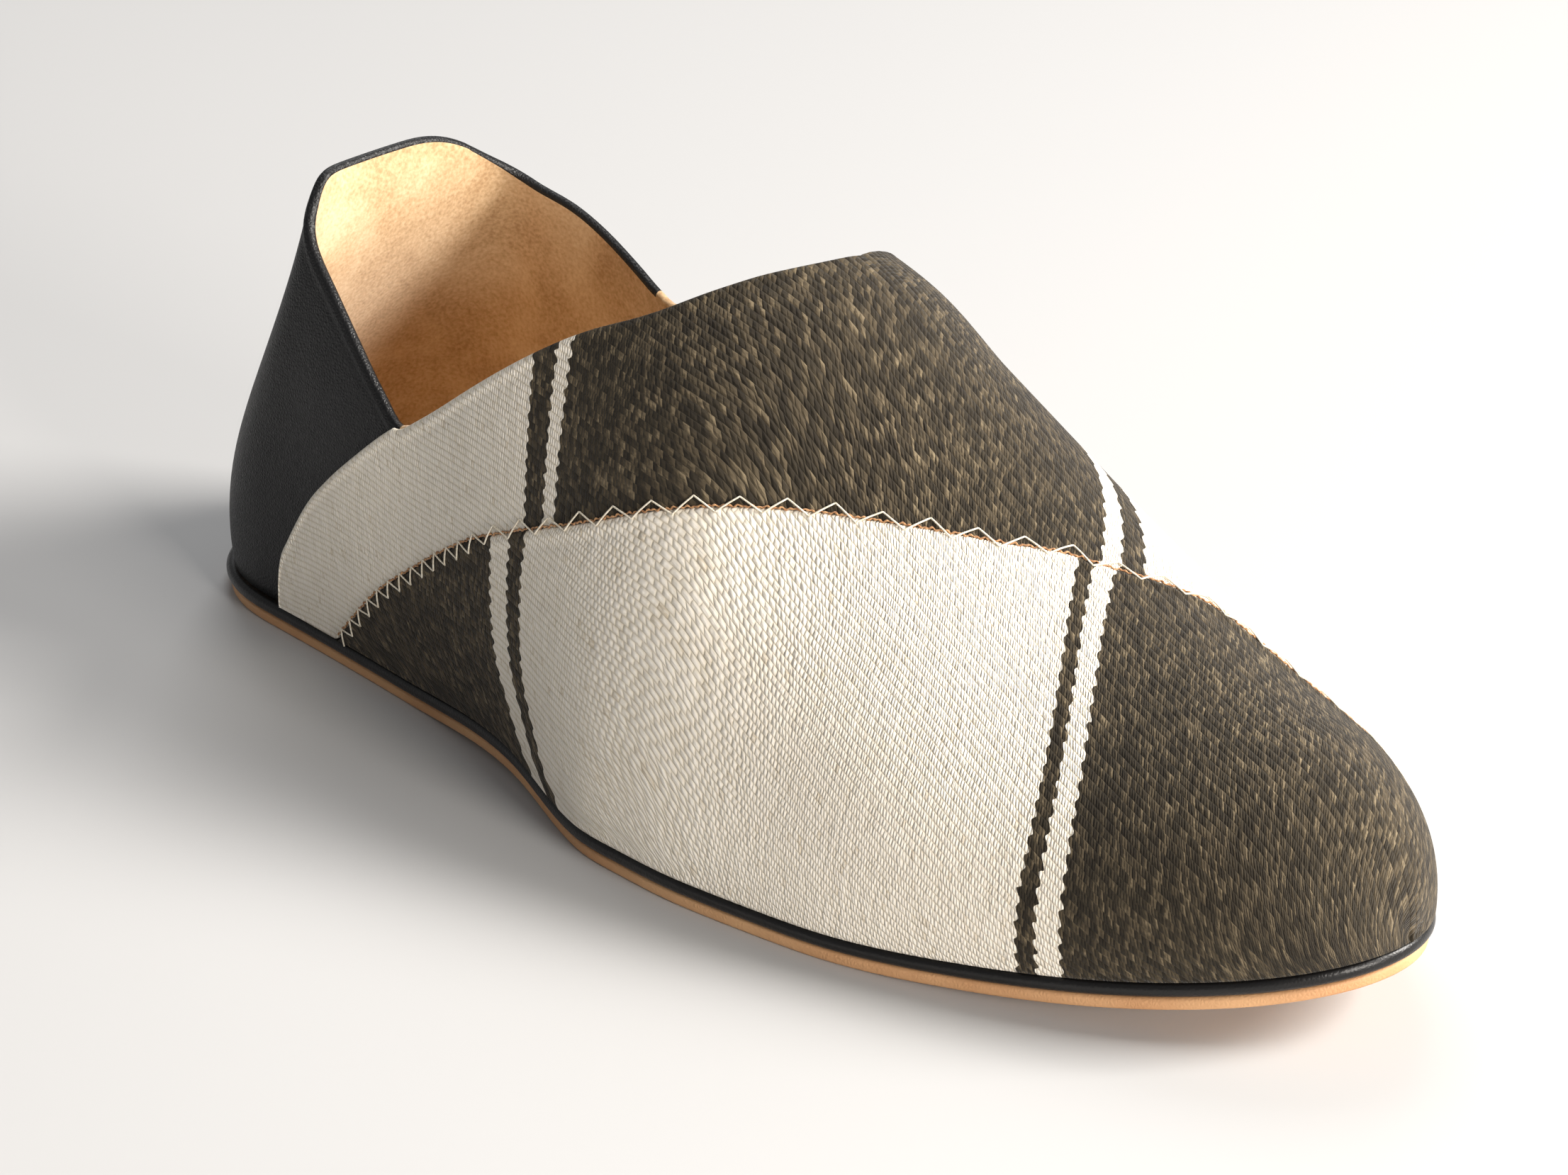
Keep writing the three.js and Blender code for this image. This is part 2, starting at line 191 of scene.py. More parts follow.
def read(table, column, along):
    """A smooth curve through a table's column: cubic pieces whose slopes come from the neighbours."""
    keys = np.array(table["along"], float)
    values = np.array(table[column], float)
    last = len(keys) - 1
    before = np.maximum(np.arange(last + 1) - 1, 0)
    after = np.minimum(np.arange(last + 1) + 1, last)
    slopes = (values[after] - values[before]) / (keys[after] - keys[before])
    i = np.clip(np.searchsorted(keys, along, side="left") - 1, 0, last - 1)
    step = keys[i + 1] - keys[i]
    t = (along - keys[i]) / step
    ends = values[i] * (2 * t**3 - 3 * t**2 + 1) + values[i + 1] * (3 * t**2 - 2 * t**3)
    return ends + step * (slopes[i] * (t**3 - 2 * t**2 + t) + slopes[i + 1] * (t**3 - t**2))


def smooth(low, high, value):
    """0 below low and 1 above high, with a smooth cubic step between them."""
    t = np.clip((value - low) / (high - low), 0, 1)
    return t * t * (3 - 2 * t)


def sole_rise(x):
    """The sole line's rise: the square of the way to the toe, and a squared sine under the arch."""
    spring = np.maximum(0, x - SPRING_START) / (LAST_LENGTH - SPRING_START)
    waist = np.clip((x - WAIST_START) / (WAIST_END - WAIST_START), 0, 1)
    return TOE_SPRING * spring**2 + WAIST_RISE * np.sin(np.pi * waist) ** 2


def end_cap(x):
    """Share of the width that is left: a squared-off ellipse at the heel and an ellipse at the toe."""
    heel = np.clip((HEEL_LENGTH - x) / HEEL_LENGTH, 0, 1)
    toe = np.clip((x - (LAST_LENGTH - TOE_LENGTH)) / TOE_LENGTH, 0, 1)
    return (1 - heel**HEEL_SQUARENESS) ** (1 / HEEL_SQUARENESS) * np.sqrt(1 - toe**2)


def place_at(turn):
    """Place along the foot for a turn from 0 to pi: half the length times one less its cosine."""
    return LAST_LENGTH * (1 - np.cos(turn)) / 2


def last_point(turn, angle):
    """Point of the last. The height is the ridge's times the sine of the angle. The half width
    shrinks as the root of one less a power of that sine, with a swell in the middle, and the ridge
    leans to the inner side with the power 1.5. The heel's back leans forward in a smooth step."""
    x = place_at(turn)
    along = x / LAST_LENGTH
    cap = end_cap(x)
    nose = np.clip((x - (LAST_LENGTH - NOSE_LENGTH)) / NOSE_LENGTH, 0, 1)
    ridge = INSTEP_HEIGHT * read(SECTIONS, "ridge", along) * np.sqrt(1 - nose**2)
    rise = np.clip(np.sin(angle), 0, 1)
    swell = 1 + 4 * read(SECTIONS, "swell", along) * rise * (1 - rise)
    arch = np.sqrt(np.maximum(0, 1 - rise ** read(SECTIONS, "full", along)))
    half = BALL_WIDTH * read(SECTIONS, "half", along) * cap * swell * arch
    lean = BALL_WIDTH * read(SECTIONS, "lean", along) * np.sqrt(cap) * rise**1.5
    up = ridge * rise
    share = np.minimum(1, up / RIM_HEIGHT)
    swing = HEEL_LEAN * share**2 * (3 - 2 * share) - HEEL_SWELL * np.sin(np.pi * share)
    felt = np.maximum(0, 1 - x / HEEL_REACH) ** 2
    y = BALL_WIDTH * read(SECTIONS, "centre", along) + lean - np.sign(np.cos(angle)) * half
    return np.stack([x + swing * felt, y, SOLE_TOP + sole_rise(x) + up], axis=-1)


def normal_at(turn, angle):
    """The last's outward normal: the cross product of its two slopes. It turns level towards the sole
    line, where the angle's sine falls below a fifth, and points straight ahead at the toe."""
    step = 1e-3
    level_below = 0.2
    last_turn = np.pi - 1e-9
    t = np.clip(turn, 2 * step, np.pi - 2 * step)
    folded = np.where(turn <= 0, np.minimum(angle, np.pi - angle), angle)
    a = np.clip(folded, step, np.pi - step)
    along_foot = last_point(t + step, a) - last_point(t - step, a)
    across = last_point(t, a + step) - last_point(t, a - step)
    normal = np.cross(along_foot, across)
    normal /= np.linalg.norm(normal, axis=-1, keepdims=True)
    normal[..., 2] *= np.clip(np.sin(angle) / level_below, 0, 1)
    normal[..., 1] = np.where(turn <= 0, 0, normal[..., 1])
    toe = turn >= last_turn
    normal = np.where(toe[..., None], np.array([1.0, 0.0, 0.0]), normal)
    return normal / np.linalg.norm(normal, axis=-1, keepdims=True)


def over_last(x, share, offset):
    """Point at a place along the foot and a share of the half turn, moved out along the normal, and
    the normal itself."""
    turn = np.arccos(np.clip(1 - 2 * x / LAST_LENGTH, -1, 1))
    angle = np.pi * np.clip(share, 0, 1)
    normal = normal_at(turn, angle)
    return last_point(turn, angle) + normal * offset[..., None], normal


def ridge_distance(x, share):
    """Length over the last from its ridge, positive towards the outer side: summed chords of each
    section, read between them."""
    steps = 180
    grid = np.linspace(0, 1, steps + 1)[None, :] + 0 * x[:, :1]
    points, _ = over_last(x[:, :1] + 0 * grid, grid, 0 * grid)
    chords = np.linalg.norm(np.diff(points, axis=1), axis=2)
    length = np.concatenate([np.zeros((len(x), 1)), np.cumsum(chords, axis=1)], axis=1)
    spot = np.clip(share, 0, 1) * steps
    k = np.clip(spot.astype(int), 0, steps - 1)
    rows = np.arange(len(x))[:, None]
    here = length[rows, k] + (spot - k) * (length[rows, k + 1] - length[rows, k])
    return length[:, steps // 2][:, None] - here


def to_row(points):
    """Millimetres along the last to metres in the row's frame."""
    return (points + np.array([LAST_START, LAST_SIDE, 0.0])) / 1000


# Meshes


WELD_DISTANCE = 2e-6
SLIVER_LENGTH = 5e-7


def mesh_object(name, parts, materials):
    """One object from parts of (points, quads, material index, two pattern coordinates or None).
    Points at the same place are welded, and faces without area are dissolved."""
    points = []
    quads = []
    slots = []
    pattern = []
    start = 0
    for part_points, part_quads, slot, coordinates in parts:
        flat = part_points.reshape(-1, 3)
        points.append(flat)
        quads.append(part_quads + start)
        slots.append(np.full(len(part_quads), slot) if np.isscalar(slot) else slot)
        pattern.append(np.zeros((len(flat), 2)) if coordinates is None else coordinates.reshape(-1, 2))
        start += len(flat)
    points = to_row(np.concatenate(points))
    quads = np.concatenate(quads)
    slots = np.concatenate(slots).astype(np.int32)
    pattern = np.concatenate(pattern) / 1000
    data = bpy.data.meshes.new(name)
    data.from_pydata(points, [], quads)
    data.polygons.foreach_set("material_index", slots)
    layer = data.uv_layers.new(name="cloth")
    layer.data.foreach_set("uv", pattern[quads.ravel()].astype(np.float32).ravel())
    for material in materials:
        data.materials.append(material)
    shape = bmesh.new()
    shape.from_mesh(data)
    bmesh.ops.remove_doubles(shape, verts=shape.verts, dist=WELD_DISTANCE)
    bmesh.ops.dissolve_degenerate(shape, edges=shape.edges, dist=SLIVER_LENGTH)
    loose = [v for v in shape.verts if not v.link_faces]
    bmesh.ops.delete(shape, geom=loose, context="VERTS")
    shape.to_mesh(data)
    shape.free()
    data.shade_smooth()
    made = bpy.data.objects.new(name, data)
    bpy.context.scene.collection.objects.link(made)
    return made


def grid_quads(rows, columns, closed=False):
    """Quads over a grid of rows by columns of points, joined round in the second way if closed."""
    across = columns if closed else columns - 1
    i, j = np.meshgrid(np.arange(rows - 1), np.arange(across), indexing="ij")
    a = i * columns + j
    b = i * columns + (j + 1) % columns
    return np.stack([a, a + columns, b + columns, b], axis=-1).reshape(-1, 4)


def side_shell(side, stations, low, high, wall, body_rows, bead, shape):
    """A layer over the last as closed rings, one for each station: the outer face from its low to its
    high share, a rolled edge, and the inner face back down. Shares count from the outer sole line
    where side is -1, and from the inner one where it is 1. wall gives the inner and outer offset,
    bead how far the rolled edge stands proud of the face, and shape adds soft relief. Rows lie at
    fixed distances near the high edge, and evenly below it."""
    turned = (lambda s: s) if side < 0 else (lambda s: 1 - s)
    inner_offset, outer_offset = wall
    x = stations[:, None]
    probe = 1e-3
    edge_a, _ = over_last(x, turned(high[:, None] - probe), 0 * x)
    edge_b, _ = over_last(x, turned(high[:, None]), 0 * x)
    scale = np.maximum(np.linalg.norm(edge_b - edge_a, axis=-1) / probe, 1.0)
    span = np.maximum(high - low, 0)[:, None]
    near = EDGE_STEPS[None, :] / scale
    near = np.minimum(near, EDGE_SHARE * span * np.linspace(0, 1, len(EDGE_STEPS))[None, :])
    rest = near[:, -1:] + (span - near[:, -1:]) * np.linspace(0, 1, body_rows + 1)[None, 1:]
    down = np.concatenate([near, rest], axis=1)
    share = high[:, None] - down
    wide = x + 0 * share
    depth = down * scale
    crest = np.exp(-(((depth - CREST_DEPTH) / CREST_WIDTH) ** 2))
    groove = np.exp(-(((depth - GROOVE_DEPTH) / GROOVE_WIDTH) ** 2))
    proud = bead[:, None] * (crest - GROOVE_SHARE * groove)
    relief = shape(wide, turned(share))
    outer, _ = over_last(wide, turned(share), outer_offset + proud + relief)
    inner, _ = over_last(wide, turned(share), inner_offset + relief + 0 * share)
    top_out = outer[:, 0]
    top_in = inner[:, 0]
    up = edge_b[:, 0] - edge_a[:, 0]
    up /= np.linalg.norm(up, axis=-1, keepdims=True)
    middle = (top_out + top_in) / 2
    reach = (top_out - top_in) / 2
    radius = np.linalg.norm(reach, axis=-1, keepdims=True)
    phi = np.pi * np.arange(1, ROLL_STEPS) / ROLL_STEPS
    roll = (
        middle[:, None, :]
        + reach[:, None, :] * np.cos(phi)[None, :, None]
        + (up * radius)[:, None, :] * np.sin(phi)[None, :, None]
    )
    ring = np.concatenate([outer[:, ::-1], roll, inner], axis=1)
    roll_shares = np.repeat(high[:, None], ROLL_STEPS - 1, axis=1)
    shares = np.concatenate([share[:, ::-1], roll_shares, share], axis=1)
    return ring, turned(shares), wide.shape[1]


def shell_parts(sides, wall, body_rows, shape, slots, pattern=None):
    """A layer from its sides: (side, stations, low shares, high shares, bead, free). Where free is
    not set, the rolled edge's faces are left out, because the two sides are welded there. slots are
    the material indices of the outer face, the rolled edge and the inner face, and last a function
    that changes them by place, or None."""
    parts = []
    for side, stations, low, high, bead, free in sides:
        ring, shares, rows = side_shell(side, stations, low, high, wall, body_rows, bead, shape)
        columns = ring.shape[1]
        quads = grid_quads(len(stations), columns, closed=True)
        if side > 0:
            quads = quads[:, ::-1]
        j = np.tile(np.arange(columns), len(stations) - 1)
        i = np.repeat(np.arange(len(stations) - 1), columns)
        in_roll = (j >= rows - 1) & (j < rows + ROLL_STEPS - 1)
        in_face = j >= rows + ROLL_STEPS - 1
        keep = ~in_roll | free[i]
        slot = np.where(in_roll, slots[1], np.where(in_face, slots[2], slots[0]))
        if slots[3]:
            slot = slots[3](stations[i], slot, in_roll)
        coordinates = None
        if pattern is not None:
            coordinates = pattern(stations[:, None] + 0 * shares, shares, ring)
        parts.append((ring, quads[keep], slot[keep], coordinates))
    return parts


def stations_between(start, end, count, crowd=()):
    """Stations along the foot, even in the last's turn, with the given places among them."""
    first_turn = math.acos(1 - 2 * start / LAST_LENGTH)
    end_turn = math.acos(1 - 2 * end / LAST_LENGTH)
    x = place_at(np.linspace(first_turn, end_turn, count))
    x[0] = start
    x[-1] = end
    return np.unique(np.concatenate([x, np.array(crowd, float)]))


def line(table, x):
    """A line's outer and inner share at places along the foot."""
    along = x / LAST_LENGTH
    return read(table, "outer", along), read(table, "inner", along)


def seam_share(x):
    """The seam's share, from the outer sole line over the ridge to the inner one."""
    return np.clip(read(SEAM, "share", np.minimum(x, SEAM_END) / LAST_LENGTH), 0, 1)


def meeting(x):
    """Share where both sides of a layer meet in front of the throat: the ridge, and at the throat's
    point the place where the collar's two lines cross."""
    return 0.5 + MEETING_SHIFT * np.exp(-(((x - THROAT_END) / MEETING_REACH) ** 2))


# Materials


def linear(code):
    """An sRGB hex colour as linear red, green, blue and alpha."""
    shares = [int(code[k : k + 2], 16) / 255 for k in (0, 2, 4)]
    return [s / 12.92 if s <= 0.04045 else ((s + 0.055) / 1.055) ** 2.4 for s in shares] + [1.0]


def add(tree, kind, inputs, stops=(), **settings):
    """Adds a node, sets its own settings, and sets or links its inputs, by name or in their order. A
    node among the inputs stands for its first output. stops are a ramp's places and hex colours."""
    made = tree.nodes.new("ShaderNode" + kind)
    for key, value in settings.items():
        setattr(made, key, value)
    for key, value in inputs.items() if isinstance(inputs, dict) else enumerate(inputs):
        if isinstance(value, bpy.types.Node):
            value = value.outputs[0]
        if isinstance(value, bpy.types.NodeSocket):
            tree.links.new(value, made.inputs[key])
        else:
            made.inputs[key].default_value = value
    for k, (place, code) in enumerate(stops):
        elements = made.color_ramp.elements
        stop = elements[k] if k < 2 else elements.new(place)
        stop.position = place
        stop.color = linear(code)
    return made


def new_material(name, **sockets):
    """A material with one Principled shader. sockets are its constant values, spaces as underscores."""
    material = bpy.data.materials.new(name)
    material.use_nodes = True
    shader = material.node_tree.nodes["Principled BSDF"]
    for key, value in sockets.items():
        shader.inputs[key.replace("_", " ")].default_value = value
    return material, material.node_tree, shader


# The cloth in millimetres: span of the stripes' table, pitch of the threads and of the rows, how far
# both wander, how far a tooth of a stripe's edge reaches, and how far the edge frays
STRIPE_SPAN = 260.0
WARP_PITCH = 0.55
WEFT_PITCH = 1.15
ROW_WANDER = 1.5
THREAD_WANDER = 1.1
TOOTH_REACH = 0.33
FRAY = 0.7


def striped_cloth(name, stripes):
    """Handwoven cotton in a plain weave: fine threads 0.55 mm apart cross rows 1.15 mm apart, and the
    stripes' edges are toothed by the rows. The eye gets a matt, slightly fuzzy and uneven surface,
    cream where the thread is undyed, and dark with tan flecks where it is dyed."""
    material, tree, shader = new_material(
        name, Roughness=0.9, Sheen_Weight=0.12, Sheen_Roughness=0.5, Specular_IOR_Level=0.15
    )
    uv = add(tree, "UVMap", {}, uv_map="cloth")
    metres = add(tree, "SeparateXYZ", [uv])
    along = add(tree, "Math", [metres.outputs[0], 1000.0], operation="MULTIPLY")
    across = add(tree, "Math", [metres.outputs[1], 1000.0], operation="MULTIPLY")
    # rows wander by up to three quarters of a millimetre in waves of 22 mm, and threads by half a
    # millimetre in waves of 5 mm
    wander = add(tree, "TexNoise", {"Vector": uv, "Scale": 45.0, "Detail": 1.0})
    sway = add(tree, "TexNoise", {"Vector": uv, "Scale": 210.0, "Detail": 1.0})
    row_place = add(tree, "Math", [wander, ROW_WANDER, across], operation="MULTIPLY_ADD")
    thread_place = add(tree, "Math", [sway, THREAD_WANDER, along], operation="MULTIPLY_ADD")
    # in every other row the threads lie half a step on, as in a plain weave
    weft = add(tree, "Math", [row_place, WEFT_PITCH], operation="DIVIDE")
    row = add(tree, "Math", [weft], operation="FLOOR")
    odd = add(tree, "Math", [row, 2.0], operation="MODULO")
    threads = add(tree, "Math", [thread_place, WARP_PITCH], operation="DIVIDE")
    warp = add(tree, "Math", [odd, 0.5, threads], operation="MULTIPLY_ADD")
    cell = add(tree, "Math", [warp], operation="FLOOR")
    # each thread is a low cushion between its neighbours: powers of two half sines
    weft_turn = add(tree, "Math", [weft, math.pi], operation="MULTIPLY")
    warp_turn = add(tree, "Math", [warp, math.pi], operation="MULTIPLY")
    weft_wave = add(tree, "Math", [weft_turn], operation="SINE")
    warp_wave = add(tree, "Math", [warp_turn], operation="SINE")
    weft_arch = add(tree, "Math", [weft_wave], operation="ABSOLUTE")
    warp_arch = add(tree, "Math", [warp_wave], operation="ABSOLUTE")
    weft_round = add(tree, "Math", [weft_arch, 0.6], operation="POWER")
    warp_round = add(tree, "Math", [warp_arch, 0.5], operation="POWER")
    thread = add(tree, "Math", [weft_round, warp_round], operation="MULTIPLY")
    spot = add(tree, "CombineXYZ", [cell, row])
    chance = add(tree, "TexWhiteNoise", {"Vector": spot})
    # teeth of the stripes' edges: every other row reaches forward by a third of a millimetre, and the
    # ones between back by as much
    frayed = add(tree, "TexNoise", {"Vector": uv, "Scale": 900.0, "Detail": 1.0})
    tooth = add(tree, "Math", [weft_wave, TOOTH_REACH, along], operation="MULTIPLY_ADD")
    loose = add(tree, "Math", [frayed, FRAY, -FRAY / 2], operation="MULTIPLY_ADD")
    edge = add(tree, "Math", [tooth, loose], operation="ADD")
    place = add(tree, "Math", [edge, STRIPE_SPAN], operation="DIVIDE")
    stops = [(start / STRIPE_SPAN, "ffffff" if dark else "000000") for start, dark in stripes]
    dark_mask = add(tree, "ValToRGB", {"Fac": place}, stops)
    dark_mask.color_ramp.interpolation = "CONSTANT"
    # uneven yarn: thick and thin over 4 mm along the foot and one row across, ribs of 0.8 mm by 6 mm,
    # patches of 26 mm, and fibres of 0.4 mm
    slub_place = add(tree, "Mapping", {"Vector": uv, "Scale": (260.0, 870.0, 1.0)})
    rib_place = add(tree, "Mapping", {"Vector": uv, "Scale": (1300.0, 160.0, 1.0)})
    slub = add(tree, "TexNoise", {"Vector": slub_place, "Scale": 1.0, "Detail": 2.0})
    rib = add(tree, "TexNoise", {"Vector": rib_place, "Scale": 1.0, "Detail": 2.0})
    patch = add(tree, "TexNoise", {"Vector": uv, "Scale": 38.0, "Detail": 3.0})
    fine = add(tree, "TexNoise", {"Vector": uv, "Scale": 2600.0, "Detail": 2.0})
    # cream: painted shade in the weave's hollows, darker and warmer than the pale tops, set by the
    # threads' and ribs' height, and a few grey-brown specks
    rib_height = add(tree, "Math", [rib, 0.5], operation="MULTIPLY")
    hollow_shade_height = add(tree, "Math", [thread, 0.7, rib_height], operation="MULTIPLY_ADD")
    # painted shade: the ramp darkens the cream where the weave is low
    cream_shade_tones = [(0.2, "d3c7b0"), (0.55, "ede4d3"), (0.95, "f9f3e8")]
    cream_with_painted_shade = add(tree, "ValToRGB", {"Fac": hollow_shade_height}, cream_shade_tones)
    speck_chance = add(tree, "Math", [fine, 0.2, chance], operation="MULTIPLY_ADD")
    speck = add(tree, "ValToRGB", {"Fac": speck_chance}, [(0.06, "cbbda2"), (0.15, "ffffff")])
    cream = add(
        tree, "Mix", {0: 0.7, 6: cream_with_painted_shade, 7: speck}, data_type="RGBA", blend_type="MULTIPLY"
    )
    # dark: flecks of tan where the crossing thread shows
    fleck = add(tree, "Math", [slub, 0.35], operation="MULTIPLY")
    fleck = add(tree, "Math", [chance, 0.42, fleck], operation="MULTIPLY_ADD")
    fleck = add(tree, "Math", [patch, 0.22, fleck], operation="MULTIPLY_ADD")
    fleck = add(tree, "Math", [fine, 0.25, fleck], operation="MULTIPLY_ADD")
    dark_tones = [(0.35, "241f18"), (0.58, "352f25"), (0.78, "524838"), (0.94, "84765e")]
    dark = add(tree, "ValToRGB", {"Fac": fleck}, dark_tones)
    colour = add(tree, "Mix", {0: dark_mask, 6: cream.outputs[2], 7: dark}, data_type="RGBA")
    tree.links.new(colour.outputs[2], shader.inputs["Base Color"])
    height = add(tree, "Math", [thread, 0.7], operation="MULTIPLY")
    height = add(tree, "Math", [rib, 1.5, height], operation="MULTIPLY_ADD")
    height = add(tree, "Math", [slub, 0.9, height], operation="MULTIPLY_ADD")
    height = add(tree, "Math", [fine, 0.3, height], operation="MULTIPLY_ADD")
    bump = add(tree, "Bump", {"Height": height, "Strength": 0.8, "Distance": 0.00035})
    tree.links.new(bump.outputs["Normal"], shader.inputs["Normal"])
    return material


def calf_leather(name, colour, roughness, grain, coat):
    """Drum-dyed calf: a soft broad sheen over a natural grain of cells about 0.7 mm across, which is
    coarser than calf's own, so that it shows. The dye varies a little in patches of 17 mm."""
    material, tree, shader = new_material(
        name, Roughness=roughness, Specular_IOR_Level=0.3, Coat_Weight=coat, Coat_Roughness=0.35
    )
    place = add(tree, "TexCoord", {}).outputs["Object"]
    cells = add(tree, "TexVoronoi", {"Vector": place, "Scale": 1500.0}, feature="DISTANCE_TO_EDGE")
    fine = add(tree, "TexNoise", {"Vector": place, "Scale": 900.0, "Detail": 3.0})
    broad = add(tree, "TexNoise", {"Vector": place, "Scale": 60.0, "Detail": 2.0})
    tone = add(tree, "ValToRGB", {"Fac": broad}, [(0.3, colour[0]), (0.7, colour[1])])
    tree.links.new(tone.outputs["Color"], shader.inputs["Base Color"])
    height = add(tree, "Math", [fine, 0.6], operation="MULTIPLY")
    height = add(tree, "Math", [cells, 3.0, height], operation="MULTIPLY_ADD")
    bump = add(tree, "Bump", {"Height": height, "Strength": grain, "Distance": 0.0003})
    tree.links.new(bump.outputs["Normal"], shader.inputs["Normal"])
    rough = add(tree, "Math", [fine, 0.16, roughness - 0.08], operation="MULTIPLY_ADD")
    tree.links.new(rough.outputs[0], shader.inputs["Roughness"])
    return material


def suede(name, colour):
    """Split calf with a short raised nap of about 0.7 mm: matt, with soft lighter and darker strokes
    about 14 mm long."""
    material, tree, shader = new_material(
        name, Roughness=0.95, Sheen_Weight=0.4, Sheen_Roughness=0.45, Specular_IOR_Level=0.15
    )
    place = add(tree, "TexCoord", {}).outputs["Object"]
    nap = add(tree, "TexNoise", {"Vector": place, "Scale": 1400.0, "Detail": 4.0})
    stroke = add(
        tree, "TexNoise", {"Vector": place, "Scale": 70.0, "Detail": 3.0, "Distortion": 0.6}
    )
    mixed = add(tree, "Math", [stroke, 0.5], operation="MULTIPLY")
    mixed = add(tree, "Math", [nap, 0.5, mixed], operation="MULTIPLY_ADD")
    tones = [(0.35, colour[0]), (0.5, colour[1]), (0.68, colour[2])]
    tone = add(tree, "ValToRGB", {"Fac": mixed}, tones)
    tree.links.new(tone.outputs["Color"], shader.inputs["Base Color"])
    bump = add(tree, "Bump", {"Height": nap, "Strength": 0.35, "Distance": 0.0002})
    tree.links.new(bump.outputs["Normal"], shader.inputs["Normal"])
    return material


def thread_material(name, colour):
    """Twisted cotton sewing thread: matt, with the turns of its plies, 0.4 mm apart, as a fine bump."""
    material, tree, shader = new_material(
        name, Roughness=0.75, Sheen_Weight=0.2, Sheen_Roughness=0.5
    )
    place = add(tree, "TexCoord", {}).outputs["Object"]
    plies = add(tree, "TexNoise", {"Vector": place, "Scale": 2500.0, "Detail": 2.0})
    tone = add(tree, "ValToRGB", {"Fac": plies}, [(0.35, colour[0]), (0.65, colour[1])])
    tree.links.new(tone.outputs["Color"], shader.inputs["Base Color"])
    bump = add(tree, "Bump", {"Height": plies, "Strength": 0.3, "Distance": 0.0001})
    tree.links.new(bump.outputs["Normal"], shader.inputs["Normal"])
    return material


quarter_leather = calf_leather("black_calf", ("121213", "1b1b1c"), 0.5, 0.45, 0.05)
rim_leather = calf_leather("black_calf_binding", ("0e0e0f", "171718"), 0.42, 0.3, 0.1)
rand_leather = calf_leather("black_burnished_rand", ("0c0b0b", "151414"), 0.34, 0.12, 0.2)
sole_leather = calf_leather("tan_sole_leather", ("c9966a", "dcae80"), 0.55, 0.15, 0.0)
lining = suede("tan_lining_suede", ("b8946a", "d4b389", "e8cda6"))
sock = suede("tan_sock_suede", ("b08c62", "ccab80", "dfc29a"))
cream_thread = thread_material("cream_cotton_thread", ("d8ccb4", "f4eddd"))
raw_edge = thread_material("raw_thread_edge", ("8a5a34", "c89a6a"))

# Stripes by where they start along the foot, in millimetres: dark is True
vamp_cloth = striped_cloth(
    "handwoven_vamp_cloth",
    [(0, True), (95.5, False), (100.6, True), (104.8, False)]
    + [(181.8, True), (185.4, False), (189.8, True)],
)
band_cloth = striped_cloth(
    "handwoven_band_cloth",
    [(0, False), (98.2, True), (102.6, False), (106.2, True)]
    + [(186.0, False), (190.9, True), (195.3, False)],
)


# Pieces


def quarter_relief(x, share):
    """Soft forms of worn leather, each a bell over place and share: a trough half a millimetre deep
    on each side of the heel, and a swell of a quarter in front of it."""
    from_sole = 0.5 - np.abs(share - 0.5)
    return sum(
        height * np.exp(-(((x - place) / length) ** 2) - ((from_sole - up) / width) ** 2)
        for height, place, length, up, width in QUARTER_FORMS
    )


def cloth_relief(x, share):
    """Slack of the cloth over the foot: two sines, about 47 and 75 mm long, which together rise less
    than a third of a millimetre and fade out at the sole line."""
    inside = smooth(0, SLACK_FADE, np.minimum(share, 1 - share))
    waves = sum(
        height * np.sin(x / length + turn * share + start)
        for height, length, turn, start in CLOTH_WAVES
    )
    return waves * inside


def ridge_excess(x):
    """How much longer the way over the ridge is than the way along the foot, from x = 0."""
    samples = 800
    grid = np.linspace(0, LAST_LENGTH, samples)
    turns = np.arccos(np.clip(1 - 2 * grid / LAST_LENGTH, -1, 1))
    ridge = last_point(turns, 0 * turns + np.pi / 2)
    steps = np.linalg.norm(np.diff(ridge[:, 1:], axis=0), axis=1)
    longer = np.hypot(np.diff(grid), steps) - np.diff(grid)
    return np.interp(x, grid, np.concatenate([[0], np.cumsum(longer)]))


def drift_at(table, place):
    """The stripes' drift from a table, which holds its end values beyond its ends."""
    return read(table, "drift", np.clip(place, table["along"][0], table["along"][-1]))


def stripe_coordinates(on_vamp):
    """Pattern coordinates of the cloth: place along the foot less the stripes' drift, and distance
    from the ridge. Over the toe the first follows the way over the ridge, so that the weave keeps
    its scale there."""

    def coordinates(x, share, ring):
        distance = ridge_distance(x, share)
        front = drift_at(FRONT_DRIFT, distance)
        if on_vamp:
            rear = drift_at(REAR_DRIFT, ring[..., 2])
        else:
            rear = BAND_DRIFT * (np.abs(distance) - BAND_DISTANCE)
        blend = smooth(*DRIFT_CHANGE, x)
        along = x - (1 - blend) * rear - blend * front
        if on_vamp:
            longer = ridge_excess(x) - ridge_excess(TOE_CLOTH)
            along = along + np.where(x > TOE_CLOTH, longer, 0)
        return np.stack([along, distance + ROW_START], axis=-1)

    return coordinates


def tube(path, normals, radius, sides=7):
    """A round thread along a path of points: rings across the path's direction, with the surface's
    normal as one axis. radius is one number for each point."""
    tangent = np.gradient(path, axis=0)
    tangent /= np.linalg.norm(tangent, axis=1, keepdims=True)
    across = np.cross(tangent, normals)
    across /= np.linalg.norm(across, axis=1, keepdims=True)
    upward = np.cross(across, tangent)
    phi = 2 * np.pi * np.arange(sides) / sides
    ring = (
        path[:, None, :]
        + radius[:, None, None] * np.cos(phi)[None, :, None] * across[:, None, :]
        + radius[:, None, None] * np.sin(phi)[None, :, None] * upward[:, None, :]
    )
    return ring, grid_quads(len(path), sides, closed=True)


